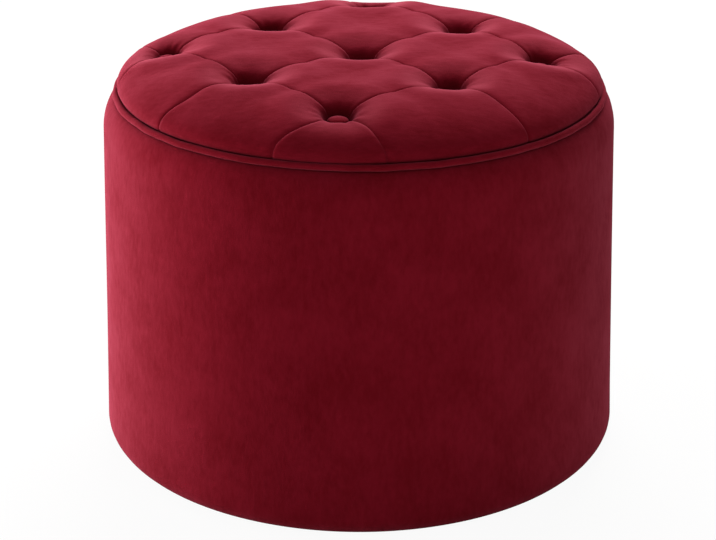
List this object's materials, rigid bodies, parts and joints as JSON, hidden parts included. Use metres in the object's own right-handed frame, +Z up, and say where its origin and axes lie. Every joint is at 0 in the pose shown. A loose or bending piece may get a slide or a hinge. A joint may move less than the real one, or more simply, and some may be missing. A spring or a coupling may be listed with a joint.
{
  "type": "storage pouf",
  "caption": "Round upholstered storage pouf: velvet-covered drum and a loose lift-off lid with a deep-buttoned cushion and a piped edge.",
  "frame": {"origin": "middle of the foot, on the floor under the glides", "axes": "+Z up, through the middle of the lid; -Y is the front, the side that the picture shows; +X is to its right"},
  "size_m": [0.5428, 0.5426, 0.4151],
  "materials": {
    "velvet": "crimson cut-pile velvet",
    "plywood": "raw birch plywood",
    "foam": "open-cell upholstery foam",
    "cloth": "black non-woven cloth",
    "lining": "dark red cloth over card",
    "steel": "zinc-plated",
    "nylon": "matte nylon",
    "twine": "waxed cotton"
  },
  "bodies": {
    "drum": {"drum_wall": "plywood", "wall_strap": "plywood", "top_ring": "plywood", "bottom_panel": "plywood", "rim_screws": "steel", "bottom_screws": "steel", "wall_padding": "foam", "body_cover": "velvet", "rim_staples": "steel", "hem_staples": "steel", "side_lining": "lining", "floor_lining": "lining", "dust_cover": "cloth", "dust_staples": "steel", "glides": "nylon", "glide_nails": "steel"},
    "lid": {"lid_board": "plywood", "lid_foam": "foam", "tufted_top": "velvet", "lid_border": "velvet", "border_staples": "steel", "piping_cover": "velvet", "piping_cord": "twine", "buttons": "velvet", "button_shells": "steel", "tufting_twines": "twine", "twine_washers": "nylon", "centring_ring": "plywood", "ring_screws": "steel", "lid_lining": "cloth", "lid_lining_staples": "steel"}
  },
  "joints": [
    {"name": "lid_lift", "type": "slide", "parent": "drum", "child": "lid", "axis": [0, 0, 1], "range_m": [0, 0.25]}
  ]
}
